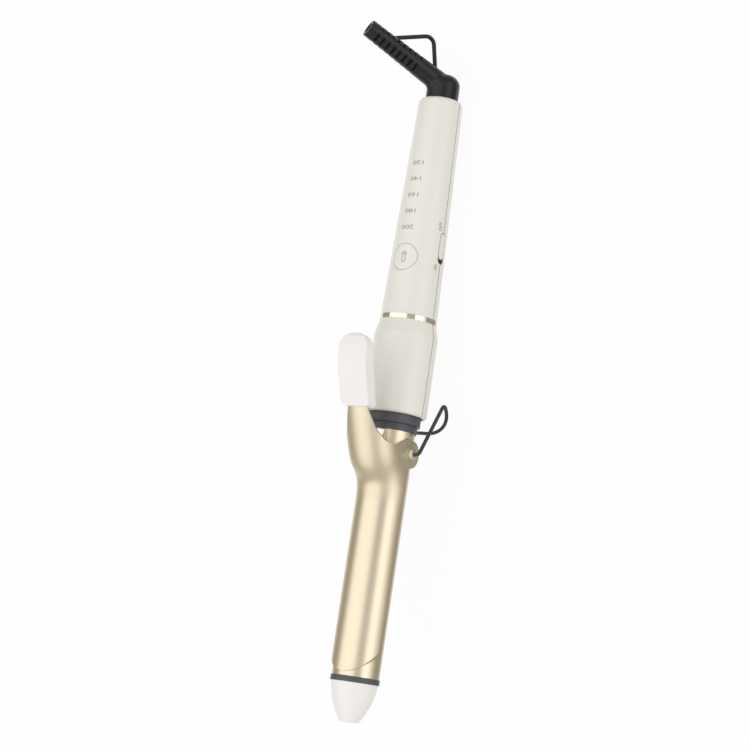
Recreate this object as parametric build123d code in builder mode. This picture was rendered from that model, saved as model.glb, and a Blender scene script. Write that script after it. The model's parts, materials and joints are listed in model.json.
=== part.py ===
from build123d import *
import os
from math import asin, atan2, cos, degrees, hypot, radians, sin, sqrt

# Curling iron with a spring clamp, a fold-out wire stand and a swivelling cord guard.
# Every piece is drawn about the barrel axis: X runs from the clamp pivot towards the cord,
# Z points to the thumb rest. At the end all pieces are laid on the table together.
os.makedirs("parts", exist_ok=True)

# Clearances and fits
running_play = 0.05
slip_fit = 0.1
seat_gap = 0.2
open_gap = 0.3

# Barrel
barrel_radius = 13.0
barrel_wall = 1.0
barrel_reach = 122.9
barrel_tail = 35.5

# Ring and tip at the front of the barrel
tip_ring_width = 3.1
tip_ring_rise = 0.4
tip_length = 21.3
tip_base_radius = 12.9
tip_start_slope = 0.1
tip_end_radius = 5.1
tip_edge_round = 0.8
tip_plug_length = 9.0
tip_plug_wall = 2.4

# Heater inside the barrel
heater_thickness = 3.2
heater_width = 12.0
heater_tip_gap = 19.1
heater_rear = 24.0
spreader_tip_gap = 15.1
spreader_rear = 26.0
spreader_cavity_width = 10.0
spreader_cavity_height = 5.2
spreader_cavity_floor = 3.2

# Clamp
clamp_clearance = 0.3
clamp_sheet = 1.0
clamp_tip_margin = 2.4
clamp_edge_angle = 82.0
clamp_round_length = 14.5
ear_radius = 7.5
ear_drop = 0.8

# Rising arm of the clamp, as the line of its ridge above the shell
arm_ridge = ((-24.5, 0.0), (-14.5, 6.9), (0.2, 16.7), (16.9, 24.6), (55.3, 33.1))
arm_end_slope = 0.1
arm_skirt = 16.0
arm_side_edge = ((8.7, 2.0), (7.1, 5.8), (5.0, 10.2), (2.6, 15.8))
arm_half_widths = (
    (2.6, 15.6),
    (2.4, 13.6),
    (2.9, 12.4),
    (4.4, 11.4),
    (6.9, 9.7),
    (10.8, 8.3),
    (17.5, 6.3),
    (25.7, 5.2),
)
tongue_end = 52.0

# Thumb rest
rest_half_width = 8.9
rest_front = 18.0
rest_length = 38.3
rest_underside = ((0.0, 33.3), (13.9, 39.0), (29.1, 43.8))
rest_top = ((0.2, 40.7), (10.1, 46.0), (18.8, 49.4), (28.7, 51.5))
rest_end_levels = (44.9, 51.3)
rest_nose_bulge = 3.4
rest_nose_level = 48.2
rest_corner_round = 8.6
rest_front_round = 3.0
rest_edge_round = 1.0

# Pivot bushes
bush_flange_radius = 3.15
bush_flange_width = 1.3
bush_collar_radius = 2.65
bush_collar_width = 0.9
bush_shank_radius = 2.3
bracket_wall = 1.2
bracket_half_length = 6.0

# Wire stand
wire_radius = 1.03
stand_half_width = 19.0
stand_leg = 37.8
stand_angle = 30.8
stand_foot_depth = 19.9
stand_foot_angle = 48.6
stand_bend = 2.2
stand_knee = 2.1
stand_foot_round = 16.4

# Leaf spring under the arm
leaf_thickness = 0.6
leaf_half_width = 4.3
leaf_foot_end = 10.8
leaf_apex = -1.8
leaf_upper = ((5.7, 17.4), (9.7, 19.7))
leaf_round = 1.6
rivet_at = 6.3
rivet_radius = 1.2
rivet_head_radius = 2.1
rivet_head_height = 0.7

# Handle
handle_front = 20.8
handle_rear = 202.0
grip_radius = 17.7
grip_end = 65.5
waist_start = 72.8
waist_radius = 15.8
tail_radius = 12.35
flare_round = 10.0
mouth_round = 1.5
tail_round = 2.8
shell_wall = 2.3
rear_wall = 3.0
seam_depth = 0.3
seam_half_width = 0.1

# Trim ring
trim_front = 73.0
trim_width = 2.8
trim_depth = 0.9
trim_rise = 0.15

# Heat collar
collar_front = 11.6
collar_wall = 2.5
collar_lower_rise = 0.5
collar_band_rise = 1.9
collar_lower_width = 3.9
collar_groove_width = 0.3
collar_groove_depth = 0.15

# Button and its switch
button_at = 107.7
button_radius = 7.5
button_gap = 0.16
button_travel = 0.7
button_flange_rise = 0.8
button_flange_height = 1.0
button_flange_top = 8.7
stem_radius = 1.9
plunger_radius = 1.7
plunger_top = 6.4
plunger_length = 1.6
tact_size = 6.2
tact_height = 2.4

# Control board
board_front = 97.5
board_rear = 168.0
board_half_width = 8.5
board_bottom = 1.6
board_thickness = 1.6
board_post_radius = 1.8
board_posts = ((101.5, 7.2), (163.0, 6.2))
chip_length = 10.0
chip_width = 6.4
chip_height = 7.0
chip_at = 135.0

# Indicator lights under the numerals
lights_first = 124.8
lights_pitch = 9.35
lights_count = 5
light_length = 2.0
light_width = 1.4
light_height = 0.8
guide_half_width = 2.2
guide_height = 1.4
guide_post_radius = 1.5

# Slide switch
slot_front = 107.4
slot_rear = 124.8
slot_width = 5.0
knob_length = 14.6
knob_travel = 2.6
knob_plate_margin = 1.3
knob_plate_out = 11.0
knob_plate_thickness = 1.0
peg_size = 2.0
peg_tip = 7.6
switch_length = 13.0
switch_back = 5.2
switch_mouth = 9.6
switch_bottom = -2.4
switch_pocket_end = 6.9

# Shell screws
screw_stations = (50.0, 86.0, 172.5)
boss_radius = 3.3
boss_sink = 0.5
screw_shank_radius = 1.25
screw_head_radius = 2.3
screw_head_height = 1.6
screw_seat = -7.0
screw_tip = 5.5

# Swivel
socket_front = 180.0
socket_rear = 195.2
socket_radius = 9.7
socket_bore = 7.2
stem_core_radius = 5.6
stem_flange_radius = 9.8
stem_flange_width = 3.2
stem_plug_radius = 6.0
stem_plug_end = 207.0
cord_radius = 3.1
ring_height = 0.8
ring_width = 2.5
ring_stations = (182.5, 188.0)
contact_width = 1.6
contact_half_length = 1.6
contact_depth = 2.4

# Cord guard
guard_radius = 9.2
guard_dome_end = 217.3
guard_dome_round = 6.4
guard_elbow = 211.4
guard_bend = 66.8
guard_turn = 36.0
sleeve_root_radius = 6.15
sleeve_end_radius = 5.05
sleeve_length = 54.3
sleeve_blend = 3.2
sleeve_end_round = 0.5
slot_rings = 8
slot_sides = 4
slot_turn = 45.0
slot_ring_width = 1.55
slot_ring_pitch = 3.87
slot_ring_depth = 1.1
slot_plain_end = 5.6

# Hang loop, as distances along the sleeve and out from its axis
loop_radius = 1.2
loop_feet = ((9.3, 4.9), (38.8, 4.6))
loop_corner = (20.4, 20.6)
loop_round = 4.5

# Leads in the barrel and handle
lead_radius = 0.75
lead_side = 4.4
lead_level = 0.8
lead_end = 100.5
fuse_front = 64.0
fuse_length = 11.0
fuse_radius = 1.9
sensor_side = 7.4
sensor_level = 0.6
sensor_radius = 1.2
sensor_length = 3.0
sensor_round = 0.6
sensor_lead_radius = 0.5
sensor_lead_end = 98.5

# Sizes that follow from the ones above
past_all = handle_rear + barrel_reach
barrel_bore = barrel_radius - barrel_wall
heater_front = barrel_reach - heater_tip_gap
spreader_front = barrel_reach - spreader_tip_gap
clamp_inner = barrel_radius + clamp_clearance
clamp_outer = clamp_inner + clamp_sheet
clamp_reach = barrel_reach - clamp_tip_margin
clamp_edge = clamp_outer * cos(radians(clamp_edge_angle))
tip_ring_front = -barrel_reach - tip_ring_width
collar_bore = barrel_radius + running_play
collar_radius = collar_bore + collar_wall
rest_end_under = (rest_front + rest_length - rest_nose_bulge, rest_end_levels[0])
rest_end_top = (rest_front + rest_length - rest_nose_bulge, rest_end_levels[1])
collar_step = barrel_radius + collar_lower_rise
collar_band = barrel_radius + collar_band_rise
collar_seat = handle_front + mouth_round
board_top = board_bottom + board_thickness
wire_bore = wire_radius + running_play
ear_bore = bush_shank_radius + running_play
flange_inner_face = clamp_outer + seat_gap
stand_mouth = flange_inner_face + bush_flange_width + bush_collar_width
bracket_radius = barrel_bore - running_play
bracket_bore = bracket_radius - bracket_wall
shell_hole_radius = guard_radius + slip_fit
knob_rear = slot_rear - seat_gap
knob_middle = knob_rear - knob_length / 2
taper = (waist_radius - tail_radius) / (handle_rear - waist_start)
toward_cord = (cos(radians(guard_bend)), sin(radians(guard_bend)))
turn_direction = Vector(0, sin(radians(guard_turn)), cos(radians(guard_turn)))
sleeve_direction = Vector(1, 0, 0) * toward_cord[0] + turn_direction * toward_cord[1]
sleeve_out = Vector(1, 0, 0) * toward_cord[1] - turn_direction * toward_cord[0]
elbow_point = Vector(guard_elbow, 0, 0)
sleeve_mouth = elbow_point + sleeve_direction * sleeve_length
sleeve_plane = Plane(origin=elbow_point, x_dir=sleeve_out, z_dir=sleeve_direction)
bend_plane = Plane(origin=elbow_point, x_dir=sleeve_direction, z_dir=sleeve_direction.cross(sleeve_out))


def skin_radius(x):
    """Radius of the handle's skin: the straight grip, or the long taper behind the trim ring."""
    return grip_radius if x < grip_end else waist_radius - taper * (x - waist_start)


def grip_section(inset, plane):
    """Half section of the handle's skin, moved inwards by the inset."""
    with BuildSketch(plane) as section:
        with BuildLine():
            Polyline(
                (handle_front, 0),
                (handle_front, grip_radius - inset),
                (grip_end, grip_radius - inset),
                (waist_start, waist_radius - inset),
                (handle_rear, tail_radius - inset),
                (handle_rear, 0),
                close=True,
            )
        make_face()
        shoulder = section.vertices().filter_by_position(Axis.X, grip_end, grip_end)
        fillet(shoulder, radius=flare_round)
    return section.sketch


def grip_body(inset):
    """The handle's skin as a full round body."""
    with BuildPart() as body:
        revolve(grip_section(inset, Plane.XZ), axis=Axis.X)
    return body.part


def grip_cavity():
    """The hollow of the handle: its skin moved in by the wall, a seat for the collar, closed at the rear."""
    with BuildPart() as cavity:
        add(grip_body(shell_wall))
        with BuildSketch(Plane.YZ.offset(handle_rear - rear_wall)):
            Circle(grip_radius)
        extrude(amount=rear_wall, mode=Mode.SUBTRACT)
        with BuildSketch(Plane.YZ.offset(handle_front)):
            Circle(collar_radius + slip_fit)
        extrude(amount=barrel_tail + slip_fit - handle_front)
    return cavity.part


def shell_blank():
    """Both handle shells as one hollow body, before they are parted at the seam."""
    with BuildPart() as blank:
        add(grip_body(0))
        fillet(blank.edges().filter_by(GeomType.CIRCLE).sort_by(Axis.X)[0], radius=mouth_round)
        fillet(blank.edges().filter_by(GeomType.CIRCLE).sort_by(Axis.X)[-1], radius=tail_round)
        add(grip_cavity(), mode=Mode.SUBTRACT)
        with BuildSketch(Plane.YZ.offset(handle_rear - rear_wall)):
            Circle(shell_hole_radius)
        extrude(amount=rear_wall, mode=Mode.SUBTRACT)
        with BuildSketch(Plane.YZ.offset(trim_front)):
            Circle(grip_radius)
            Circle(skin_radius(trim_front) - trim_depth, mode=Mode.SUBTRACT)
        extrude(amount=trim_width, mode=Mode.SUBTRACT)
        with BuildSketch(Plane.XZ):
            with Locations(((slot_front + slot_rear) / 2, 0)):
                SlotOverall(slot_rear - slot_front, slot_width)
        extrude(amount=grip_radius, mode=Mode.SUBTRACT)
        with BuildSketch(Plane.XY):
            add(grip_section(0, Plane.XY))
            add(grip_section(seam_depth, Plane.XY), mode=Mode.SUBTRACT)
            mirror(about=Plane.XZ)
        extrude(amount=seam_half_width, both=True, mode=Mode.SUBTRACT)
    return blank.part


def sheet_section(x, grow):
    """Cross-section of the clamp's sheet: a half round on two upright sides."""
    outer = clamp_outer + grow
    inner = clamp_inner - grow
    with BuildSketch(Plane.YZ.offset(x)) as band:
        with BuildLine():
            ThreePointArc((outer, 0), (0, outer), (-outer, 0))
            Polyline((-outer, 0), (-outer, -arm_skirt), (-inner, -arm_skirt), (-inner, 0))
            ThreePointArc((-inner, 0), (0, inner), (inner, 0))
            Polyline((inner, 0), (inner, -arm_skirt), (outer, -arm_skirt), (outer, 0))
        make_face()
    return band.sketch


def arm_skin(grow):
    """The bent sheet of the arm, thickened by the same amount on both faces."""
    with BuildLine(Plane.XZ) as ridge:
        Spline(
            *[(x, clamp_outer + rise) for x, rise in arm_ridge],
            tangents=((1, 0), (1, arm_end_slope)),
        )
    with BuildPart() as skin:
        sweep(sheet_section(arm_ridge[0][0], grow), path=ridge.line)
    return skin.part


# Barrel tube with the two pivot holes
with BuildPart() as barrel_tube:
    with BuildSketch(Plane.YZ.offset(-barrel_reach)):
        Circle(barrel_radius)
        Circle(barrel_bore, mode=Mode.SUBTRACT)
    extrude(amount=barrel_reach + barrel_tail)
    with BuildSketch(Plane.XZ):
        Circle(ear_bore)
    extrude(amount=grip_radius, both=True, mode=Mode.SUBTRACT)
    with BuildSketch(Plane.XY):
        with Locations((rivet_at, 0)):
            Circle(rivet_radius + running_play)
    extrude(amount=grip_radius, mode=Mode.SUBTRACT)
barrel_tube.part.label = "barrel_tube"

# Dark ring that closes the front of the barrel
with BuildPart() as tip_ring:
    with BuildSketch(Plane.YZ.offset(tip_ring_front)):
        Circle(barrel_radius + tip_ring_rise)
        Circle(barrel_bore - slip_fit, mode=Mode.SUBTRACT)
    extrude(amount=tip_ring_width)
    fillet(tip_ring.edges().filter_by(GeomType.CIRCLE).sort_by(SortBy.RADIUS)[-2:], radius=tip_ring_rise)
tip_ring.part.label = "tip_ring"

# White cool tip with its hollow plug
with BuildPart() as tip_cap:
    with BuildSketch(Plane.XZ):
        with BuildLine():
            Line((tip_ring_front, 0), (tip_ring_front, tip_base_radius))
            TangentArc(
                (tip_ring_front, tip_base_radius),
                (tip_ring_front - tip_length, tip_end_radius),
                tangent=(-1, -tip_start_slope),
            )
            Polyline(
                (tip_ring_front - tip_length, tip_end_radius),
                (tip_ring_front - tip_length, 0),
                (tip_ring_front, 0),
            )
        make_face()
    revolve(axis=Axis.X)
    fillet(tip_cap.edges().filter_by(GeomType.CIRCLE).sort_by(Axis.X)[0], radius=tip_edge_round)
    with BuildSketch(Plane.YZ.offset(tip_ring_front)):
        Circle(barrel_bore - seat_gap)
        Circle(barrel_bore - seat_gap - tip_plug_wall, mode=Mode.SUBTRACT)
    extrude(amount=tip_ring_width + tip_plug_length)
tip_cap.part.label = "tip_cap"

# Ceramic heater plate
with BuildPart() as heater_plate:
    with BuildSketch(Plane.YZ.offset(-heater_front)):
        Rectangle(heater_width, heater_thickness)
    extrude(amount=heater_front - heater_rear)
heater_plate.part.label = "heater_plate"

# Heat spreaders above and below the heater plate
with BuildPart() as heat_spreader_upper:
    with BuildSketch(Plane.YZ.offset(-spreader_front)):
        Circle(barrel_bore - seat_gap)
        with Locations((0, heater_thickness / 2)):
            Rectangle(past_all, past_all, align=(Align.CENTER, Align.MAX), mode=Mode.SUBTRACT)
        with Locations((0, heater_thickness / 2 + spreader_cavity_floor)):
            Rectangle(
                spreader_cavity_width,
                spreader_cavity_height,
                align=(Align.CENTER, Align.MIN),
                mode=Mode.SUBTRACT,
            )
    extrude(amount=spreader_front - spreader_rear)
heat_spreader_upper.part.label = "heat_spreader_upper"

with BuildPart() as heat_spreader_lower:
    add(heat_spreader_upper.part)
    mirror(about=Plane.XY, mode=Mode.REPLACE)
heat_spreader_lower.part.label = "heat_spreader_lower"

# Steel bracket in the barrel that holds the two pivot bushes
with BuildPart() as pivot_bracket:
    with BuildSketch(Plane.YZ.offset(-bracket_half_length)):
        Circle(bracket_radius)
        Circle(bracket_bore, mode=Mode.SUBTRACT)
    extrude(amount=bracket_half_length * 2)
    with BuildSketch(Plane.XZ):
        Circle(ear_bore)
    extrude(amount=grip_radius, both=True, mode=Mode.SUBTRACT)
    with BuildSketch(Plane.XY):
        with Locations((rivet_at, 0)):
            Circle(rivet_head_radius)
    extrude(amount=grip_radius, mode=Mode.SUBTRACT)
pivot_bracket.part.label = "pivot_bracket"

# Gold bushes that the clamp and the stand turn on
with BuildPart() as pivot_bushes:
    with BuildSketch(Plane.XZ.offset(bracket_bore)):
        Circle(bush_shank_radius)
    extrude(amount=flange_inner_face - bracket_bore)
    with BuildSketch(Plane.XZ.offset(flange_inner_face)):
        Circle(bush_flange_radius)
    extrude(amount=bush_flange_width)
    with BuildSketch(Plane.XZ.offset(flange_inner_face + bush_flange_width)):
        Circle(bush_collar_radius)
    extrude(amount=bush_collar_width)
    with BuildSketch(Plane.XZ):
        Circle(wire_bore)
    extrude(amount=past_all, mode=Mode.SUBTRACT)
    mirror(about=Plane.XZ)
pivot_bushes.part.label = "pivot_bushes"

# Ears that hang the clamp on the pivot
with BuildPart() as clamp_ears:
    with BuildSketch(Plane.XZ.offset(clamp_inner)):
        with Locations((0, -ear_drop)):
            Circle(ear_radius)
    extrude(amount=clamp_sheet)
    mirror(about=Plane.XZ)

# Clamp: half round shell, rising arm and the two ears
with BuildPart() as clamp:
    extrude(sheet_section(-clamp_reach, 0), amount=clamp_reach + arm_ridge[0][0])
    add(arm_skin(0))
    with BuildSketch(Plane.XY.offset(clamp_edge)):
        Rectangle(past_all, past_all)
    extrude(amount=-past_all, mode=Mode.SUBTRACT)
    with BuildSketch(Plane.XY):
        with Locations((-clamp_reach, 0)):
            Rectangle(clamp_round_length, grip_radius * 2, align=(Align.MIN, Align.CENTER))
        with Locations((-clamp_reach + clamp_round_length, 0)):
            Ellipse(clamp_round_length, clamp_outer, mode=Mode.SUBTRACT)
    extrude(amount=grip_radius, mode=Mode.SUBTRACT)
    with BuildSketch(Plane.XZ):
        with BuildLine():
            Spline(*arm_side_edge)
            Polyline(
                arm_side_edge[-1],
                (handle_rear, arm_side_edge[-1][1]),
                (handle_rear, 0),
                arm_side_edge[0],
            )
        make_face()
    extrude(amount=grip_radius, both=True, mode=Mode.SUBTRACT)
    with BuildSketch(Plane.XY.offset(arm_side_edge[-1][1])):
        with BuildLine():
            Spline(*arm_half_widths)
            Polyline(
                arm_half_widths[-1],
                (handle_rear, arm_half_widths[-1][1]),
                (handle_rear, grip_radius),
                (arm_half_widths[0][0], grip_radius),
                arm_half_widths[0],
            )
        make_face()
        mirror(about=Plane.XZ)
        with Locations((tongue_end, 0)):
            Rectangle(handle_rear, grip_radius, align=(Align.MIN, Align.CENTER))
    extrude(amount=handle_rear, mode=Mode.SUBTRACT)
    add(clamp_ears.part)
    with BuildSketch(Plane.XZ):
        Circle(ear_bore)
    extrude(amount=grip_radius, both=True, mode=Mode.SUBTRACT)
clamp.part.label = "clamp"

# Room for the end of the arm in the thumb rest
with BuildPart() as tongue_room:
    add(arm_skin(slip_fit))
    with BuildSketch(Plane.XY):
        Rectangle(
            tongue_end + slip_fit,
            (arm_half_widths[-2][1] + slip_fit) * 2,
            align=(Align.MIN, Align.CENTER),
        )
    extrude(amount=past_all, mode=Mode.INTERSECT)

# White thumb rest over the end of the arm
with BuildPart() as thumb_rest:
    with BuildSketch(Plane.XZ):
        with BuildLine():
            top = Spline(*[(rest_front + along, level) for along, level in rest_top], rest_end_top)
            under = Spline(*[(rest_front + along, level) for along, level in rest_underside], rest_end_under)
            Line(top @ 0, under @ 0)
            ThreePointArc(top @ 1, (rest_front + rest_length, rest_nose_level), under @ 1)
        make_face()
    extrude(amount=rest_half_width, both=True)
    near_side = thumb_rest.edges().group_by(Axis.Y)[0].sort_by(Axis.Z)[-1]
    far_side = thumb_rest.edges().group_by(Axis.Y)[-1].sort_by(Axis.Z)[-1]
    fillet([near_side, far_side], radius=rest_edge_round)
    with BuildSketch(Plane.XY) as rest_plan:
        with Locations((rest_front, 0)):
            Rectangle(rest_length, rest_half_width * 2, align=(Align.MIN, Align.CENTER))
        fillet(rest_plan.vertices().group_by(Axis.X)[-1], radius=rest_corner_round)
        fillet(rest_plan.vertices().group_by(Axis.X)[0], radius=rest_front_round)
    extrude(amount=past_all, mode=Mode.INTERSECT)
    add(tongue_room.part, mode=Mode.SUBTRACT)
thumb_rest.part.label = "thumb_rest"

# Leaf spring between the barrel and the arm
leaf_floor = barrel_radius + leaf_thickness / 2
with BuildPart() as clamp_spring:
    with BuildSketch(Plane.XZ):
        with BuildLine():
            FilletPolyline(
                (leaf_foot_end, leaf_floor),
                (leaf_apex, leaf_floor),
                *[(x, barrel_radius + z) for x, z in leaf_upper],
                radius=leaf_round,
            )
        trace(line_width=leaf_thickness)
    extrude(amount=leaf_half_width, both=True)
    with BuildSketch(Plane.XY):
        with Locations((rivet_at, 0)):
            Circle(rivet_radius + running_play)
    extrude(amount=barrel_radius + leaf_thickness * 2, mode=Mode.SUBTRACT)
clamp_spring.part.label = "clamp_spring"

# Rivet of the leaf spring
with BuildPart() as spring_rivet:
    with BuildSketch(Plane.XY.offset(barrel_bore)):
        with Locations((rivet_at, 0)):
            Circle(rivet_radius)
    extrude(amount=barrel_wall + leaf_thickness)
    with BuildSketch(Plane.XY.offset(barrel_radius + leaf_thickness)):
        with Locations((rivet_at, 0)):
            Circle(rivet_head_radius)
    extrude(amount=rivet_head_height)
    fillet(spring_rivet.edges().filter_by(GeomType.CIRCLE).sort_by(Axis.Z)[-1], radius=rivet_head_height / 2)
spring_rivet.part.label = "spring_rivet"

# Wire stand
leg_reach = (stand_leg * cos(radians(stand_angle)), -stand_leg * sin(radians(stand_angle)))
foot_reach = (
    leg_reach[0] - stand_foot_depth * sin(radians(stand_foot_angle)),
    leg_reach[1] - stand_foot_depth * cos(radians(stand_foot_angle)),
)
with BuildPart() as stand_wire:
    with BuildLine() as stand_path:
        FilletPolyline(
            (0, -bracket_bore, 0),
            (0, -stand_half_width, 0),
            (leg_reach[0], -stand_half_width, leg_reach[1]),
            (foot_reach[0], -stand_half_width, foot_reach[1]),
            (foot_reach[0], stand_half_width, foot_reach[1]),
            (leg_reach[0], stand_half_width, leg_reach[1]),
            (0, stand_half_width, 0),
            (0, bracket_bore, 0),
            radius=(
                stand_bend,
                stand_knee,
                stand_foot_round,
                stand_foot_round,
                stand_knee,
                stand_bend,
            ),
        )
    with BuildSketch(Plane.XZ.offset(bracket_bore)):
        Circle(wire_radius)
    sweep(path=stand_path.wires()[0])
stand_wire.part.label = "stand_wire"

# Dark two-step heat collar
with BuildPart() as heat_collar:
    with BuildSketch(Plane.XZ):
        with BuildLine():
            step_at = collar_front + collar_lower_width
            Polyline(
                (collar_front, collar_bore),
                (collar_front, collar_step),
                (step_at, collar_step),
                (step_at, collar_step - collar_groove_depth),
                (step_at + collar_groove_width, collar_step - collar_groove_depth),
                (step_at + collar_groove_width, collar_band),
                (collar_seat, collar_band),
                (collar_seat, collar_radius),
                (barrel_tail, collar_radius),
                (barrel_tail, collar_bore),
                close=True,
            )
        make_face()
    revolve(axis=Axis.X)
heat_collar.part.label = "heat_collar"

# Handle shells with bosses, posts and openings
shells = shell_blank()
with BuildPart() as handle_upper_shell:
    add(shells)
    split(bisect_by=Plane.XY, keep=Keep.TOP)
    for station in screw_stations:
        reach = skin_radius(station) - shell_wall + boss_sink
        with BuildSketch(Plane.XY):
            with Locations((station, 0)):
                Circle(boss_radius)
        extrude(amount=reach)
        with BuildSketch(Plane.XY):
            with Locations((station, 0)):
                Circle(screw_shank_radius + running_play)
        extrude(amount=screw_tip + slip_fit, mode=Mode.SUBTRACT)
    with BuildSketch(Plane.XY):
        with Locations((button_at, 0)):
            Circle(button_radius + button_gap)
    extrude(amount=grip_radius, mode=Mode.SUBTRACT)
handle_upper_shell.part.label = "handle_upper_shell"

with BuildPart() as handle_lower_shell:
    add(shells)
    split(bisect_by=Plane.XY, keep=Keep.BOTTOM)
    for station in screw_stations:
        reach = skin_radius(station) - shell_wall + boss_sink
        with BuildSketch(Plane.XY):
            with Locations((station, 0)):
                Circle(boss_radius)
        extrude(amount=-reach)
        with BuildSketch(Plane.XY):
            with Locations((station, 0)):
                Circle(screw_shank_radius + running_play)
        extrude(amount=screw_seat, mode=Mode.SUBTRACT)
        with BuildSketch(Plane.XY.offset(screw_seat)):
            with Locations((station, 0)):
                Circle(screw_head_radius + slip_fit)
        extrude(amount=-grip_radius, mode=Mode.SUBTRACT)
    for along, aside in board_posts:
        floor = sqrt((skin_radius(along) - shell_wall) ** 2 - aside**2) + boss_sink
        with BuildSketch(Plane.XY.offset(board_bottom)):
            with Locations((along, aside), (along, -aside)):
                Circle(board_post_radius)
        extrude(amount=-board_bottom - floor)
handle_lower_shell.part.label = "handle_lower_shell"

# Screws that hold the shells together
with BuildPart() as handle_screws:
    for station in screw_stations:
        with BuildSketch(Plane.XY.offset(screw_seat)):
            with Locations((station, 0)):
                Circle(screw_shank_radius)
        extrude(amount=screw_tip - screw_seat)
        with BuildSketch(Plane.XY.offset(screw_seat)):
            with Locations((station, 0)):
                Circle(screw_head_radius)
        extrude(amount=-screw_head_height)
handle_screws.part.label = "handle_screws"

# Gold trim ring in its groove
with BuildPart() as trim_ring:
    with BuildSketch(Plane.YZ.offset(trim_front)):
        Circle(skin_radius(trim_front) + trim_rise)
        Circle(skin_radius(trim_front) - trim_depth + running_play, mode=Mode.SUBTRACT)
    extrude(amount=trim_width)
    fillet(trim_ring.edges().filter_by(GeomType.CIRCLE).sort_by(SortBy.RADIUS)[-2:], radius=trim_rise)
trim_ring.part.label = "trim_ring"

# Temperature button, flush with the handle
with BuildPart() as temperature_button:
    with BuildSketch(Plane.XY.offset(button_flange_top - button_flange_height)):
        with Locations((button_at, 0)):
            Circle(button_radius)
    extrude(amount=grip_radius)
    add(grip_body(0), mode=Mode.INTERSECT)
    with BuildSketch(Plane.XY.offset(button_flange_top - button_flange_height)):
        with Locations((button_at, 0)):
            Circle(button_radius + button_flange_rise)
    extrude(amount=button_flange_height)
    with BuildSketch(Plane.XY.offset(button_flange_top - button_flange_height)):
        with Locations((button_at, 0)):
            Circle(stem_radius)
    extrude(amount=plunger_top - button_flange_top + button_flange_height)
temperature_button.part.label = "temperature_button"

# Plunger of the tact switch, moved by the button
with BuildPart() as tact_plunger:
    with BuildSketch(Plane.XY.offset(plunger_top)):
        with Locations((button_at, 0)):
            Circle(plunger_radius)
    extrude(amount=-plunger_length)
tact_plunger.part.label = "tact_plunger"

# Tact switch on the board
with BuildPart() as tact_switch:
    with BuildSketch(Plane.XY.offset(board_top)):
        with Locations((button_at, 0)):
            Rectangle(tact_size, tact_size)
    extrude(amount=tact_height)
    with BuildSketch(Plane.XY.offset(plunger_top - plunger_length - button_travel - slip_fit)):
        with Locations((button_at, 0)):
            Circle(plunger_radius + slip_fit)
    extrude(amount=tact_height, mode=Mode.SUBTRACT)
tact_switch.part.label = "tact_switch"

# Control board
with BuildPart() as control_board:
    with BuildSketch(Plane.XY.offset(board_bottom)):
        with Locations((board_front, 0)):
            Rectangle(board_rear - board_front, board_half_width * 2, align=(Align.MIN, Align.CENTER))
    extrude(amount=board_thickness)
control_board.part.label = "control_board"

# Power chip under the board
with BuildPart() as power_chip:
    with BuildSketch(Plane.XY.offset(board_bottom)):
        with Locations((chip_at, 0)):
            Rectangle(chip_length, chip_width)
    extrude(amount=-chip_height)
power_chip.part.label = "power_chip"

# Indicator lights on the board
light_spots = [(lights_first + lights_pitch * place, 0) for place in range(lights_count)]
with BuildPart() as indicator_lights:
    with BuildSketch(Plane.XY.offset(board_top)):
        with Locations(*light_spots):
            Rectangle(light_length, light_width)
    extrude(amount=light_height)
indicator_lights.part.label = "indicator_lights"

# Light guide that carries the lights up to the numerals
with BuildPart() as light_guide:
    with BuildSketch(Plane.XY.offset(board_top + light_height)):
        with Locations((light_spots[0][0] - lights_pitch / 2, 0)):
            Rectangle(lights_pitch * lights_count, guide_half_width * 2, align=(Align.MIN, Align.CENTER))
    extrude(amount=guide_height)
    with BuildSketch(Plane.XY.offset(board_top + light_height + guide_height)):
        with Locations(*light_spots):
            Circle(guide_post_radius)
    extrude(amount=grip_radius)
    add(grip_body(shell_wall + slip_fit), mode=Mode.INTERSECT)
light_guide.part.label = "light_guide"

# Slide switch body under the board edge
with BuildPart() as slide_switch_body:
    with BuildSketch(Plane.XY.offset(board_bottom)):
        with Locations((knob_middle - knob_travel / 2, -switch_mouth)):
            Rectangle(switch_length, switch_mouth - switch_back, align=(Align.CENTER, Align.MIN))
    extrude(amount=switch_bottom - board_bottom)
    with BuildSketch(Plane.XZ.offset(switch_pocket_end)):
        with Locations((knob_middle - knob_travel / 2, 0)):
            Rectangle(peg_size + knob_travel + open_gap * 2, peg_size + open_gap * 2)
    extrude(amount=switch_mouth, mode=Mode.SUBTRACT)
slide_switch_body.part.label = "slide_switch_body"

# Knob of the slide switch with its guide plate and peg
with BuildPart() as switch_slider:
    with BuildSketch(Plane.XZ.offset(knob_plate_out - knob_plate_thickness)):
        with Locations((knob_middle, 0)):
            SlotOverall(knob_length, slot_width - slip_fit * 2)
    extrude(amount=grip_radius)
    add(grip_body(0), mode=Mode.INTERSECT)
    with BuildSketch(Plane.XZ.offset(knob_plate_out - knob_plate_thickness)):
        with Locations((knob_middle, 0)):
            Rectangle(knob_length + knob_travel * 2, slot_width + knob_plate_margin * 2)
    extrude(amount=knob_plate_thickness)
    with BuildSketch(Plane.XZ.offset(peg_tip)):
        with Locations((knob_middle, 0)):
            Rectangle(peg_size, peg_size)
    extrude(amount=knob_plate_out - knob_plate_thickness - peg_tip)
switch_slider.part.label = "switch_slider"

# Leads from the board to the heater, one of them through the fuse
with BuildPart() as heater_leads:
    with BuildSketch(Plane.YZ.offset(-heater_rear)):
        with Locations((lead_side, lead_level), (-lead_side, lead_level)):
            Circle(lead_radius)
    extrude(amount=heater_rear + lead_end)
    with BuildSketch(Plane.YZ.offset(fuse_front)):
        with Locations((-lead_side, lead_level)):
            Circle(fuse_radius)
    extrude(amount=fuse_length, mode=Mode.SUBTRACT)
heater_leads.part.label = "heater_leads"

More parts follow.
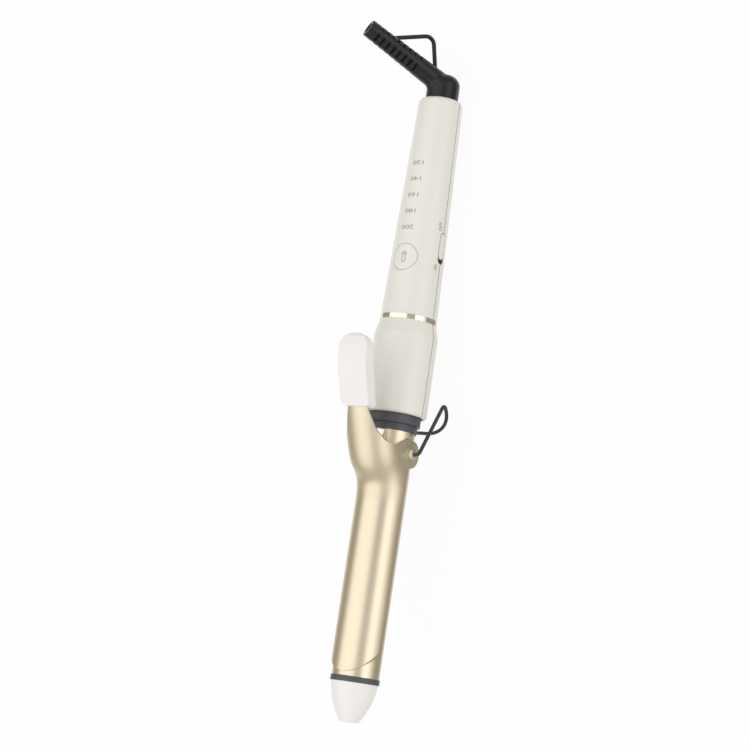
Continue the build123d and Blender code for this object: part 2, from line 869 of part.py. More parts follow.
# Thermal fuse in line with one lead
with BuildPart() as thermal_fuse:
    with BuildSketch(Plane.YZ.offset(fuse_front)):
        with Locations((-lead_side, lead_level)):
            Circle(fuse_radius)
    extrude(amount=fuse_length)
    fillet(thermal_fuse.edges().filter_by(GeomType.CIRCLE), radius=open_gap)
thermal_fuse.part.label = "thermal_fuse"

# Thermistor bead at the heat spreaders, with its lead
with BuildPart() as thermistor:
    with BuildSketch(Plane.YZ.offset(-spreader_rear + running_play)):
        with Locations((sensor_side, sensor_level)):
            Circle(sensor_radius)
    extrude(amount=sensor_length)
    fillet(thermistor.edges().filter_by(GeomType.CIRCLE), radius=sensor_round)
    with BuildSketch(Plane.YZ.offset(-spreader_rear + sensor_length)):
        with Locations((sensor_side, sensor_level)):
            Circle(sensor_lead_radius)
    extrude(amount=spreader_rear - sensor_length + sensor_lead_end)
thermistor.part.label = "thermistor"

# Socket around the slip rings
with BuildPart() as swivel_socket:
    with BuildSketch(Plane.YZ.offset(socket_front)):
        Circle(socket_radius)
        Circle(socket_bore, mode=Mode.SUBTRACT)
    extrude(amount=socket_rear - socket_front)
    with BuildSketch(Plane.XY.offset(-stem_core_radius - ring_height - seat_gap)):
        with Locations(*[(station + ring_width / 2, 0) for station in ring_stations]):
            Rectangle(contact_width, contact_half_length * 2)
    extrude(amount=-contact_depth, mode=Mode.SUBTRACT)
swivel_socket.part.label = "swivel_socket"

# Contact springs that press on the slip rings
with BuildPart() as contact_springs:
    with BuildSketch(Plane.XY.offset(-stem_core_radius - ring_height - seat_gap)):
        with Locations(*[(station + ring_width / 2, 0) for station in ring_stations]):
            Rectangle(contact_width, contact_half_length * 2)
    extrude(amount=-contact_depth)
contact_springs.part.label = "contact_springs"

# Swivel stem that carries the cord guard
with BuildPart() as swivel_stem:
    with BuildSketch(Plane.YZ.offset(socket_front)):
        Circle(stem_core_radius)
    extrude(amount=socket_rear - socket_front)
    with BuildSketch(Plane.YZ.offset(socket_rear + seat_gap)):
        Circle(stem_flange_radius)
    extrude(amount=stem_flange_width)
    with BuildSketch(Plane.YZ.offset(socket_rear)):
        Circle(stem_plug_radius)
    extrude(amount=stem_plug_end - socket_rear)
    with BuildSketch(Plane.YZ.offset(socket_front)):
        Circle(cord_radius)
    extrude(amount=stem_plug_end - socket_front, mode=Mode.SUBTRACT)
swivel_stem.part.label = "swivel_stem"

# Slip rings on the stem
with BuildPart() as slip_rings:
    for station in ring_stations:
        with BuildSketch(Plane.YZ.offset(station)):
            Circle(stem_core_radius + ring_height)
            Circle(stem_core_radius, mode=Mode.SUBTRACT)
        extrude(amount=ring_width)
slip_rings.part.label = "slip_rings"

# Cord guard: domed elbow and slotted sleeve with the cord bore
guard_base = socket_rear + seat_gap + stem_flange_width
with BuildPart() as cord_guard:
    with BuildSketch(Plane.YZ.offset(guard_base)):
        Circle(guard_radius)
    extrude(amount=guard_dome_end - guard_base)
    fillet(cord_guard.edges().filter_by(GeomType.CIRCLE).sort_by(Axis.X)[-1], radius=guard_dome_round)
    with BuildSketch(sleeve_plane):
        Circle(sleeve_root_radius)
    with BuildSketch(sleeve_plane.offset(sleeve_length)):
        Circle(sleeve_end_radius)
    loft()
    blend = cord_guard.edges(Select.LAST).filter_by(GeomType.BSPLINE)
    fillet(blend, radius=sleeve_blend)
    mouth = cord_guard.edges().filter_by(GeomType.CIRCLE).sort_by_distance(sleeve_mouth)[0]
    fillet(mouth, radius=sleeve_end_round)
    for ring in range(slot_rings):
        along = sleeve_length - slot_plain_end - slot_ring_width - slot_ring_pitch * ring
        skin = sleeve_root_radius + (sleeve_end_radius - sleeve_root_radius) * along / sleeve_length
        with BuildSketch(sleeve_plane.offset(along)):
            with PolarLocations(skin - slot_ring_depth, slot_sides, start_angle=slot_turn):
                Rectangle(guard_radius, guard_radius * 2, align=(Align.MIN, Align.CENTER))
        extrude(amount=slot_ring_width, mode=Mode.SUBTRACT)
    with BuildSketch(Plane.YZ.offset(guard_base)):
        Circle(stem_plug_radius)
    extrude(amount=stem_plug_end - guard_base, mode=Mode.SUBTRACT)
    with BuildSketch(Plane.YZ.offset(guard_base)):
        Circle(cord_radius)
    extrude(amount=guard_elbow - guard_base, mode=Mode.SUBTRACT)
    with BuildSketch(sleeve_plane):
        Circle(cord_radius)
    extrude(amount=sleeve_length, mode=Mode.SUBTRACT)
cord_guard.part.label = "cord_guard"

# Hang loop on the outer side of the guard
with BuildPart() as hang_loop:
    with BuildLine(bend_plane) as loop_path:
        FilletPolyline(loop_feet[0], loop_corner, loop_feet[1], radius=loop_round)
    with BuildSketch(Plane(origin=loop_path.wires()[0] @ 0, z_dir=loop_path.wires()[0] % 0)):
        Circle(loop_radius)
    sweep(path=loop_path.wires()[0])
hang_loop.part.label = "hang_loop"

# Lay every piece on the table: the stand's foot and the handle's end carry the iron
foot_span = handle_rear - tail_round - foot_reach[0]
foot_drop = -(tail_radius - tail_round) - foot_reach[1]
round_drop = asin((tail_round - wire_radius) / hypot(foot_span, foot_drop))
recline = degrees(atan2(foot_drop, foot_span) - round_drop)
pieces = [
    barrel_tube,
    tip_ring,
    tip_cap,
    heater_plate,
    heat_spreader_upper,
    heat_spreader_lower,
    pivot_bracket,
    pivot_bushes,
    clamp,
    thumb_rest,
    clamp_spring,
    spring_rivet,
    stand_wire,
    heat_collar,
    handle_upper_shell,
    handle_lower_shell,
    handle_screws,
    trim_ring,
    temperature_button,
    tact_plunger,
    tact_switch,
    control_board,
    power_chip,
    indicator_lights,
    light_guide,
    slide_switch_body,
    switch_slider,
    heater_leads,
    thermal_fuse,
    thermistor,
    swivel_socket,
    contact_springs,
    swivel_stem,
    slip_rings,
    cord_guard,
    hang_loop,
]
reclined = Compound(children=[piece.part.moved(Rotation(0, recline, 0)) for piece in pieces])
extent = reclined.bounding_box()
rest_pose = Pos(-extent.center().X, -extent.center().Y, -extent.min.Z) * Rotation(0, recline, 0)
for piece in pieces:
    label = piece.part.label
    placed = piece.part.moved(rest_pose)
    placed.label = label
    export_step(placed, f"parts/{label}.step")
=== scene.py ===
import json
import math

import bmesh
import bpy
import numpy as np
from mathutils import Matrix, Vector


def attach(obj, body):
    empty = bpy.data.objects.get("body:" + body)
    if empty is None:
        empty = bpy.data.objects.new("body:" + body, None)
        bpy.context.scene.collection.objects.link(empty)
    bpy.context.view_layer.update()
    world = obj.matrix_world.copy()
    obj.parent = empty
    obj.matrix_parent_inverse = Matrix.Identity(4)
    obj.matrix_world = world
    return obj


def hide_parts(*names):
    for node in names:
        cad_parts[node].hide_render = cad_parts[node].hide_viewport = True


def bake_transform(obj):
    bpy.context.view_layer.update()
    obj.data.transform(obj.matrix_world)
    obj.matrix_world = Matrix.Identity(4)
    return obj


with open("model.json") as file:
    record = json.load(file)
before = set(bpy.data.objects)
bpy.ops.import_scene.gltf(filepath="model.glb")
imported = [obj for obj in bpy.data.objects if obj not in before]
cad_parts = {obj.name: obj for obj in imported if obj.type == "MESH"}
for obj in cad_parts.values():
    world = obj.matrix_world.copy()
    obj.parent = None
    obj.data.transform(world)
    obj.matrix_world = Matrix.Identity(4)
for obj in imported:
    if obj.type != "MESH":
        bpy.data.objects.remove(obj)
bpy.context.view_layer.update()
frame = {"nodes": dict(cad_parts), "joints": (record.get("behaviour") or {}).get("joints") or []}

bl_info = {
    "name": "Curling Iron Finisher",
    "version": (1, 0, 0),
    "blender": (4, 5, 0),
    "location": "View3D > Sidebar > Curling Iron",
    "description": "Finishes, printed marks, leaf spring and studio for the curling iron",
    "category": "Object",
}

MM = 0.001
JOINTS = {joint["name"]: joint for joint in frame["joints"]}

# The iron's own axes in the row frame: along the barrel to the cord, across it, and up to the thumb rest.
PIVOT = np.array(JOINTS["clamp_hinge"]["pos_m"])
ALONG = np.array(JOINTS["cord_swivel"]["axis"])
ACROSS = np.array(JOINTS["clamp_hinge"]["axis"], float)
UPWARD = np.cross(ALONG, ACROSS)
RECLINE = math.atan2(-ALONG[2], ALONG[0])

# Handle skin behind the trim ring: a long cone, by station and radius in millimetres.
WAIST_AT = 72.8
WAIST_RADIUS = 15.8
TAIL_AT = 202.0
TAIL_RADIUS = 12.35

# Stations of the printed marks along the handle, in millimetres.
NUMERALS = {"200": 124.8, "180": 134.15, "160": 143.5, "140": 152.85, "120": 162.2}
SWITCH_LABELS = {"ON": 104.5, "OFF": 128.0}
BUTTON_AT = 107.7

# Painted shade in the shell joints, in metres: half width of the seam, round-ended switch slot, button hole,
# width of their rims, share of a line that is fully dark and blend between the sides of the handle.
SEAM_LINE = 0.00026
SLOT_MIDDLE = 0.1161
SLOT_HALF_LINE = 0.0062
SLOT_RADIUS = 0.0025
BUTTON_HOLE = 0.00755
RIM_LINE = 0.00034
LINE_CORE = 0.6
SIDE_BLEND = 0.001

# Sleeve of the cord guard in the iron's axes, in metres: start on the axis, direction, radius there, radius
# lost by length, where the row of slots begins and ends, and the depth over which painted shade fills a slot.
SLEEVE_AT = 0.2114
SLEEVE_AXIS = (0.3939, 0.5403, 0.7436)
SLEEVE_ROOT = 0.00615
SLEEVE_TAPER = 0.0203
SLOTS_BEGIN = (0.017, 0.019)
SLOTS_END = (0.050, 0.051)
SLOT_SHADE = (0.0002, 0.0007)

# Where the clamp's finish turns from the spoon to the duller arm, in metres from the pivot.
ARM_BEGIN = (-0.031, -0.021)

# Leaf spring in the iron's x and z, in millimetres: corners of its middle line, half width, half thickness,
# and a point at its foot and one at its top.
LEAF_FOOT = [(10.8, 13.3)] * 3 + [(3.6, 13.3), (0.0, 13.35)]
LEAF_BEND = [(-1.8, 14.6), (-0.6, 17.6)]
LEAF_LEG = [(2.5, 23.8), (4.8, 29.0), (6.3, 31.0)] + [(9.7, 32.7)] * 3
LEAF_HALF_WIDTH = 4.3
LEAF_HALF_THICKNESS = 0.28
LEAF_FIXED = (6.0, 0.0, 14.4)
LEAF_MOVED = (6.0, 0.0, 31.4)

# Thermometer on the button, in millimetres along the handle from the button's middle.
BULB_AT = 1.65
BULB_RADIUS = 1.3
STEM_END = -2.1
STEM_HALF_WIDTH = 0.92
SCALE_ENDS = (1.95, 1.25)
SCALE_ROUND = 0.2

# Ink stands this far proud of the skin, and its back lies this far under it, in millimetres.
INK_PROUD = 0.05
INK_UNDER = 0.03

# Studio, in metres: spot, aim, width and height of the lamps, corner and sides of the cards, and the floor.
OVERHEAD_LAMP = ((-0.6, 0.55, 1.2), (-0.6, 0.55, 0.0), 3.0, 2.1)
FRONT_LAMP = ((-0.05, -1.5, 0.45), (-0.05, 0.0, 0.2), 1.9, 0.95)
FLOOR_CARD = ((-0.5, -0.135, 0.0005), (0.85, 0.0, 0.0), (0.0, 0.11, 0.0))
BACK_CARD = ((-0.5, 0.2, 0.0), (0.85, 0.0, 0.0), (0.0, 0.0, 0.17))
CARD_COLOUR = (0.38, 0.36, 0.32)
FLOOR_REACH = 6.0
FLOOR_COLOUR = (0.9, 0.9, 0.9)
FLOOR_GLOW = 0.94
WHITE = (1.0, 1.0, 1.0)


def srgb(red, green, blue):
    """A display colour of 0 to 255 as linear values, by the sRGB curve."""
    shown = np.array([red, green, blue]) / 255
    linear = np.where(shown <= 0.04045, shown / 12.92, ((shown + 0.055) / 1.055) ** 2.4)
    return tuple(float(part) for part in linear)


def place(points):
    """Points in the iron's axes and millimetres as row points in metres: pivot + x along + y across + z up."""
    points = np.asarray(points, float) * MM
    return PIVOT + points[..., 0:1] * ALONG + points[..., 1:2] * ACROSS + points[..., 2:3] * UPWARD


def skin_radius(x):
    """Radius of the handle's skin at station x: a straight line from the waist to the tail."""
    return WAIST_RADIUS + (TAIL_RADIUS - WAIST_RADIUS) * (x - WAIST_AT) / (TAIL_AT - WAIST_AT)


def on_skin(x, turn, lift):
    """Point on the handle's cone: station x, turn from the top towards +Y, and lift off the skin."""
    radius = skin_radius(x) + lift
    return np.stack([x, radius * np.sin(turn), radius * np.cos(turn)], axis=-1)


def grid_faces(rows, columns, close_rows=False, close_columns=False):
    """Quads of a rows x columns grid of points, as index arrays; a closed direction wraps round."""
    row = np.arange(rows if close_rows else rows - 1)
    column = np.arange(columns if close_columns else columns - 1)
    r, c = (side.ravel() for side in np.meshgrid(row, column, indexing="ij"))
    r_next = (r + 1) % rows
    c_next = (c + 1) % columns
    corners = [r * columns + c, r_next * columns + c, r_next * columns + c_next, r * columns + c_next]
    return np.stack(corners, axis=1)


def new_piece(name, points, faces, smooth=True):
    """A mesh object at the origin from row points in metres and faces, merged and facing outwards."""
    mesh = bpy.data.meshes.new(name)
    mesh.from_pydata(points.tolist(), [], [list(map(int, face)) for face in faces])
    mesh.validate()
    merged = bmesh.new()
    merged.from_mesh(mesh)
    bmesh.ops.remove_doubles(merged, verts=merged.verts, dist=1e-7)
    bmesh.ops.recalc_face_normals(merged, faces=merged.faces)
    merged.to_mesh(mesh)
    merged.free()
    if smooth:
        mesh.shade_smooth()
    piece = bpy.data.objects.new(name, mesh)
    bpy.context.scene.collection.objects.link(piece)
    return piece


def print_piece(name, points, faces, ink, body):
    """A printed mark: its mesh, the ink and the body that it rides on."""
    piece = new_piece(name, place(points), faces, smooth=False)
    piece.data.materials.append(ink)
    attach(piece, body)


def dress(material, *nodes):
    """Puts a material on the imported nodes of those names."""
    for name in nodes:
        mesh = frame["nodes"][name].data
        mesh.materials.clear()
        mesh.materials.append(material)


def plug(tree, socket, value):
    """Links a wire to a socket, or sets the socket to a number or colour."""
    if isinstance(value, Wire):
        tree.links.new(value.socket, socket)
    elif isinstance(value, (tuple, list)) and socket.type == "RGBA" and len(value) == 3:
        socket.default_value = (*value, 1.0)
    else:
        socket.default_value = value


class Wire:
    """An output socket whose arithmetic adds Math nodes, between wires and numbers either way round."""

    def __init__(self, socket):
        self.socket = socket

    def math(self, operation, first, second):
        """Adds one Math node for two wires or numbers."""
        tree = self.socket.id_data
        node = tree.nodes.new("ShaderNodeMath")
        node.operation = operation
        plug(tree, node.inputs[0], first)
        plug(tree, node.inputs[1], second)
        return Wire(node.outputs[0])

    def __add__(self, other):
        return self.math("ADD", self, other)

    def __radd__(self, other):
        return self.math("ADD", other, self)

    def __sub__(self, other):
        return self.math("SUBTRACT", self, other)

    def __rsub__(self, other):
        return self.math("SUBTRACT", other, self)

    def __mul__(self, other):
        return self.math("MULTIPLY", self, other)

    def __rmul__(self, other):
        return self.math("MULTIPLY", other, self)

    def __abs__(self):
        return self.math("ABSOLUTE", self, 0.0)

    def at_least(self, floor):
        """The larger of this and a floor."""
        return self.math("MAXIMUM", self, floor)


class Finish:
    """The nodes of a material or of the surroundings, made anew; node() adds all but the Math nodes."""

    def __init__(self, owner):
        owner.use_nodes = True
        self.owner = owner
        self.tree = owner.node_tree
        self.tree.nodes.clear()

    def node(self, kind, settings, sockets, output=0):
        """Adds a node: settings, then values or wires for its sockets. Returns one output as a wire."""
        node = self.tree.nodes.new(kind)
        for key, value in settings.items():
            setattr(node, key, value)
        for key, value in sockets.items():
            plug(self.tree, node.inputs[key], value)
        return Wire(node.outputs[output]) if node.outputs else None

    def iron_coords(self, stretch=(1.0, 1.0, 1.0)):
        """Object coordinates turned to the iron's axes, centred on the pivot, then scaled along each axis."""
        spot = self.node("ShaderNodeTexCoord", {}, {}, "Object")
        turned = self.node(
            "ShaderNodeMapping",
            {"vector_type": "TEXTURE"},
            {"Vector": spot, "Location": tuple(PIVOT), "Rotation": (0.0, RECLINE, 0.0)},
        )
        return self.node("ShaderNodeVectorMath", {"operation": "MULTIPLY"}, {0: turned, 1: stretch})

    def noise(self, scale, detail=2.0, stretch=(1.0, 1.0, 1.0)):
        """Noise from 0 to 1 with that many features in a metre, stretched along the iron's axes."""
        return self.node(
            "ShaderNodeTexNoise",
            {},
            {"Vector": self.iron_coords(stretch), "Scale": scale, "Detail": detail},
            "Fac",
        )

    def between(self, amount, first, second):
        """Colour between two colours by the amount."""
        return self.node("ShaderNodeMix", {"data_type": "RGBA"}, {0: amount, 6: first, 7: second}, 2)

    def ramp(self, value, start, end):
        """0 below the start, 1 above the end and a smooth rise between."""
        sockets = {"Value": value, "From Min": start, "From Max": end}
        return self.node("ShaderNodeMapRange", {"interpolation_type": "SMOOTHSTEP"}, sockets)

    def parts(self, vector):
        """The three numbers of a vector."""
        return (self.node("ShaderNodeSeparateXYZ", {}, {"Vector": vector}, axis) for axis in "XYZ")

    def length(self, vector):
        """Length of a vector."""
        return self.node("ShaderNodeVectorMath", {"operation": "LENGTH"}, {0: vector}, "Value")

    def bump(self, height, distance, strength=0.5):
        """Normal of a surface with that height, from 0 to 1, times the distance in metres."""
        return self.node("ShaderNodeBump", {}, {"Height": height, "Distance": distance, "Strength": strength})

    def done(self, **sockets):
        """Ends the material in a Principled shader with those inputs, their underscores read as spaces."""
        named = {key.replace("_", " "): value for key, value in sockets.items()}
        return self.end(self.node("ShaderNodeBsdfPrincipled", {}, named))

    def end(self, shader, kind="ShaderNodeOutputMaterial"):
        """Links a shader to the output and returns the material or the surroundings."""
        self.node(kind, {}, {"Surface": shader})
        return self.owner


def finish(name):
    """A new material, ready for its nodes."""
    return Finish(bpy.data.materials.new(name))


def tint(colour, factor):
    """A colour made lighter or darker by a factor."""
    return tuple(min(1.0, part * factor) for part in colour)


def satin_metal(name, colour, rough, arm_rough=0.0):
    """Blasted and anodised metal: fine grain, faint draw lines, slow changes of tone, a duller clamp arm."""
    metal = finish(name)
    grain = metal.noise(2600.0)
    lines = metal.noise(900.0, stretch=(0.03, 1.0, 1.0))
    tone = metal.noise(28.0, detail=3.0)
    along, _, _ = metal.parts(metal.iron_coords())
    arm = metal.ramp(along, *ARM_BEGIN)
    return metal.done(
        Base_Color=metal.between(tone * 0.7 + lines * 0.3, tint(colour, 0.94), tint(colour, 1.05)),
        Metallic=1.0,
        Roughness=rough + (grain - 0.5) * 0.12 + (tone - 0.5) * 0.05 + arm * arm_rough,
        Normal=metal.bump(grain * 0.8 + lines * 0.2, 0.00001),
    )


def polished_metal(name, colour, rough):
    """Turned and polished metal: fine rings round the iron's axis and a few dull patches."""
    metal = finish(name)
    rings = metal.noise(6000.0, stretch=(1.0, 0.02, 0.02))
    patch = metal.noise(160.0, detail=3.0)
    return metal.done(
        Base_Color=metal.between(patch, tint(colour, 0.94), tint(colour, 1.05)),
        Metallic=1.0,
        Roughness=rough + rings * 0.06 + (patch - 0.5) * 0.05,
        Normal=metal.bump(rings, 0.000004),
    )


def painted_joint_shade(shell, plain, joint_shade_colour):
    """Shell colour with lines of painted shade: the seam at the iron's height 0 and the rims of slot and
    button.

    The slot's rim is where the distance to the slot's middle line, sqrt(max(|x - middle| - half, 0)^2 + z^2),
    passes its radius. The button's is where sqrt((x - middle)^2 + y^2) passes the radius of its hole.
    """
    along, across, height = shell.parts(shell.iron_coords())
    # Painted shade: dark lines stand for the shade in the seam's groove and in the gaps round the slot and
    # button.
    off_seam = shell.ramp(abs(height), SEAM_LINE * LINE_CORE, SEAM_LINE)
    past_end = (abs(along - SLOT_MIDDLE) - SLOT_HALF_LINE).at_least(0.0)
    from_slot = shell.length(shell.node("ShaderNodeCombineXYZ", {}, {"X": past_end, "Z": height}))
    off_slot = shell.ramp(from_slot, SLOT_RADIUS + RIM_LINE * LINE_CORE, SLOT_RADIUS + RIM_LINE)
    far_side = shell.ramp(across, 0.0, SIDE_BLEND)
    past_button = along - BUTTON_AT * MM
    from_button = shell.length(shell.node("ShaderNodeCombineXYZ", {}, {"X": past_button, "Y": across}))
    off_button = shell.ramp(from_button, BUTTON_HOLE, BUTTON_HOLE + RIM_LINE)
    under_side = shell.ramp(height, SIDE_BLEND, 0.0)
    slotted = shell.between(off_slot + far_side, joint_shade_colour, plain)
    ringed = shell.between(off_button + under_side, joint_shade_colour, slotted)
    return shell.between(off_seam, joint_shade_colour, ringed)


def moulded(name, colour, rough, grain_scale=2400.0, depth=0.00001, spread=0.03, joint_shade_colour=None):
    """Moulded plastic: fine eroded grain, slow changes of tone from the flow, and gloss by both."""
    plastic = finish(name)
    grain = plastic.noise(grain_scale, detail=3.0)
    flow = plastic.noise(22.0, detail=3.0, stretch=(0.5, 1.0, 1.0))
    skin = plastic.between(flow, tint(colour, 1 - spread), tint(colour, 1 + spread))
    # Painted shade in the joints of the shells, where a colour for it is given.
    if joint_shade_colour:
        skin = painted_joint_shade(plastic, skin, joint_shade_colour)
    return plastic.done(
        Base_Color=skin,
        Roughness=rough + (grain - 0.5) * 0.10 + (flow - 0.5) * 0.05,
        Normal=plastic.bump(grain, depth),
    )


def rubber_with_painted_slot_shade(name, colour, rough):
    """Black rubber with painted shade in the sleeve's slots, where the distance from its axis is less than its
    cone's.
    """
    rubber = finish(name)
    grain = rubber.noise(1200.0, detail=3.0)
    bloom = rubber.noise(60.0, detail=3.0)
    start = {0: rubber.iron_coords(), 1: (SLEEVE_AT, 0.0, 0.0)}
    axis = {0: rubber.node("ShaderNodeVectorMath", {"operation": "SUBTRACT"}, start), 1: SLEEVE_AXIS}
    travel = rubber.node("ShaderNodeVectorMath", {"operation": "DOT_PRODUCT"}, axis, "Value")
    off_axis = rubber.node("ShaderNodeVectorMath", {"operation": "CROSS_PRODUCT"}, axis)
    depth = SLEEVE_ROOT - travel * SLEEVE_TAPER - rubber.length(off_axis)
    slotted = rubber.ramp(travel, *SLOTS_BEGIN) - rubber.ramp(travel, *SLOTS_END)
    # Painted shade: the floors of the slots darken towards a tenth of the rubber's colour.
    painted_slot_shade = rubber.ramp(depth, *SLOT_SHADE) * slotted
    plain = rubber.between(bloom, tint(colour, 0.85), tint(colour, 1.2))
    return rubber.done(
        Base_Color=rubber.between(painted_slot_shade, plain, tint(colour, 0.1)),
        Roughness=rough + (grain - 0.5) * 0.15 + painted_slot_shade * 0.5,
        Normal=rubber.bump(grain, 0.00003),
        Specular_IOR_Level=0.32,
    )


def coated_wire(name, colour):
    """Powder coated wire: orange peel in the coat, a slightly greyer bloom and soft gloss."""
    coat = finish(name)
    peel = coat.noise(1400.0)
    bloom = coat.noise(300.0, detail=3.0)
    return coat.done(
        Base_Color=coat.between(bloom, tint(colour, 0.8), tint(colour, 1.25)),
        Roughness=0.20 + (bloom - 0.5) * 0.1,
        Normal=coat.bump(peel, 0.00002),
    )


def speckled(name, first, second, scale, rough):
    """Two tones in fine speckles, for fired ceramic, circuit board mask and glass beads."""
    stuff = finish(name)
    speck = stuff.noise(scale, detail=4.0)
    return stuff.done(
        Base_Color=stuff.between(speck, first, second),
        Roughness=rough + (speck - 0.5) * 0.12,
        Normal=stuff.bump(speck, 0.00001),
    )


def printed(name, colour):
    """Pad-printed ink: even tone with a faint screen and a dull surface."""
    ink = finish(name)
    screen = ink.noise(9000.0)
    return ink.done(
        Base_Color=ink.between(screen, tint(colour, 0.92), tint(colour, 1.1)),
        Roughness=0.5 + (screen - 0.5) * 0.1,
    )


def colour_property(label, text, value):
    """A linear colour that a user may change."""
    return bpy.props.FloatVectorProperty(
        name=label, description=text, default=value, size=3, min=0.0, max=1.0, subtype="COLOR"
    )


def millimetres(label, text, value):
    """A length in millimetres that a user may change."""
    return bpy.props.FloatProperty(name=label, description=text + ", in millimetres", default=value)


def watts(label, text, value):
    """The power of a lamp."""
    return bpy.props.FloatProperty(name=label, description=text, default=value, min=0.0, unit="POWER")


def angle(label, text, value):
    """An angle, given in degrees."""
    return bpy.props.FloatProperty(name=label, description=text, default=math.radians(value), subtype="ANGLE")


class IronFinishes(bpy.types.PropertyGroup):
    """Colours of the iron's finishes."""

    champagne: colour_property("Champagne", "Satin metal of the barrel and clamp", srgb(226, 213, 187))
    ivory: colour_property("Ivory", "Plastic of the handle, button and switch", srgb(232, 229, 220))
    white: colour_property("White", "Plastic of the thumb rest and tip", srgb(239, 236, 231))
    slate: colour_property("Slate", "Dark plastic of the collar and the tip's ring", srgb(78, 77, 83))
    # Colour of the painted shade in the seam of the shells and round their slot and button hole.
    joint: colour_property("Joint", "Dark joints of the handle's shells", srgb(122, 116, 106))
    gold: colour_property("Gold", "Polished trim ring", srgb(238, 226, 204))
    bush: colour_property("Bush", "Turned pivot bushes", srgb(255, 249, 236))
    rubber: colour_property("Rubber", "Cord guard and hang loop", srgb(30, 30, 33))
    wire: colour_property("Wire", "Coated wire of the stand", srgb(56, 56, 59))
    ink: colour_property("Ink", "Printed numerals, labels and outline", srgb(150, 147, 138))


class IronMarks(bpy.types.PropertyGroup):
    """Sizes and places of the printed marks."""

    numeral_height: millimetres("Numeral height", "Height of a numeral", 2.3)
    numeral_stretch: bpy.props.FloatProperty(
        name="Numeral stretch", description="Width of the numerals by their plain form", default=1.64, min=0.1
    )
    numeral_turn: angle("Numeral turn", "Turn of the numerals from the handle's top", 3.4)
    label_height: millimetres("Label height", "Height of the switch labels", 2.3)
    letter_width: millimetres("Letter width", "Width of one letter of the switch labels", 1.6)
    label_turn: angle("Label turn", "Turn of the switch labels from the handle's top", -75.7)
    outline_width: millimetres("Outline width", "Width of the lines of the thermometer on the button", 0.36)


class IronStudio(bpy.types.PropertyGroup):
    """Camera and light."""

    distance: bpy.props.FloatProperty(
        name="Distance",
        description="From the camera to the iron",
        default=1.15,
        min=0.3,
        max=5.0,
        unit="LENGTH",
    )
    lens: bpy.props.FloatProperty(
        name="Lens",
        description="Focal length on a 36 mm sensor",
        default=100.02,
        min=20.0,
        max=400.0,
        unit="CAMERA",
    )
    lean: angle("Lean", "Lean of the iron in the picture", 8.609)
    roll: angle("Roll", "Turn of the thumb rest away from the camera", 32.97)
    tilt: angle("Tilt", "Tilt of the cord end away from the camera", 9.421)
    aim_along: millimetres("Aim along", "Station that the middle of the picture shows", 41.83)
    aim_aside: millimetres("Aim aside", "How far the iron stands right of the middle", 13.93)
    overhead: watts("Overhead lamp", "Power of the broad lamp over the iron", 17.6)
    front: watts("Front lamp", "Power of the lamp on the switch side", 6.8)
    surround: bpy.props.FloatProperty(
        name="Surround", description="Strength of the pale surroundings", default=0.52, min=0.0, max=2.0
    )


class IRON_OT_metal(bpy.types.Operator):
    """Finishes the barrel, clamp, trim ring, bushes and stand wire"""

    bl_idname = "iron.metal"
    bl_label = "Finish the metal"

    def execute(self, context):
        colours = context.scene.iron_finishes
        dress(satin_metal("champagne_barrel", colours.champagne, 0.35), "barrel_tube")
        dress(satin_metal("champagne_clamp", colours.champagne, 0.36, 0.1), "clamp")
        dress(polished_metal("polished_gold", colours.gold, 0.10), "trim_ring")
        dress(polished_metal("turned_gold", colours.bush, 0.28), "pivot_bushes")
        dress(coated_wire("coated_wire", colours.wire), "stand_wire")
        return {"FINISHED"}


class IRON_OT_plastic(bpy.types.Operator):
    """Finishes the handle, thumb rest, tip, collar and cord guard"""

    bl_idname = "iron.plastic"
    bl_label = "Finish the plastic"

    def execute(self, context):
        colours = context.scene.iron_finishes
        # The shells carry painted shade in their joints.
        shell = moulded("ivory_shell", colours.ivory, 0.34, joint_shade_colour=tuple(colours.joint))
        dress(shell, "handle_upper_shell", "handle_lower_shell")
        dress(moulded("ivory_keys", colours.ivory, 0.34), "temperature_button", "switch_slider")
        dress(moulded("white_plastic", colours.white, 0.40, 1800.0), "thumb_rest", "tip_cap")
        dress(moulded("slate_plastic", colours.slate, 0.44, 1500.0, 0.00002, 0.08), "heat_collar", "tip_ring")
        dress(rubber_with_painted_slot_shade("black_rubber", colours.rubber, 0.3), "cord_guard", "hang_loop")
        return {"FINISHED"}


class IRON_OT_insides(bpy.types.Operator):
    """Finishes the pieces inside the barrel and the handle"""

    bl_idname = "iron.insides"
    bl_label = "Finish the insides"

    def execute(self, context):
        ceramic = speckled("fired_ceramic", (0.7, 0.68, 0.64), (0.82, 0.8, 0.77), 1200.0, 0.55)
        dress(ceramic, "heater_plate")
        aluminium = satin_metal("extruded_aluminium", (0.6, 0.6, 0.6), 0.38)
        dress(aluminium, "heat_spreader_upper", "heat_spreader_lower")
        steel = satin_metal("plain_steel", (0.5, 0.5, 0.51), 0.34)
        dress(steel, "pivot_bracket", "spring_rivet", "handle_screws", "thermal_fuse")
        dress(speckled("board_mask", (0.02, 0.15, 0.06), (0.04, 0.22, 0.09), 700.0, 0.35), "control_board")
        black = moulded("black_moulding", (0.02, 0.02, 0.021), 0.45)
        dress(black, "tact_plunger", "tact_switch", "power_chip", "slide_switch_body")
        dress(black, "swivel_socket", "swivel_stem")
        dress(moulded("milky_lens", (0.8, 0.78, 0.72), 0.25), "indicator_lights", "light_guide")
        dress(moulded("silicone_sleeve", (0.6, 0.58, 0.55), 0.5), "heater_leads")
        dress(speckled("glass_bead", (0.45, 0.3, 0.16), (0.6, 0.42, 0.25), 1500.0, 0.12), "thermistor")
        dress(polished_metal("turned_brass", (0.6, 0.45, 0.2), 0.2), "slip_rings", "contact_springs")
        return {"FINISHED"}


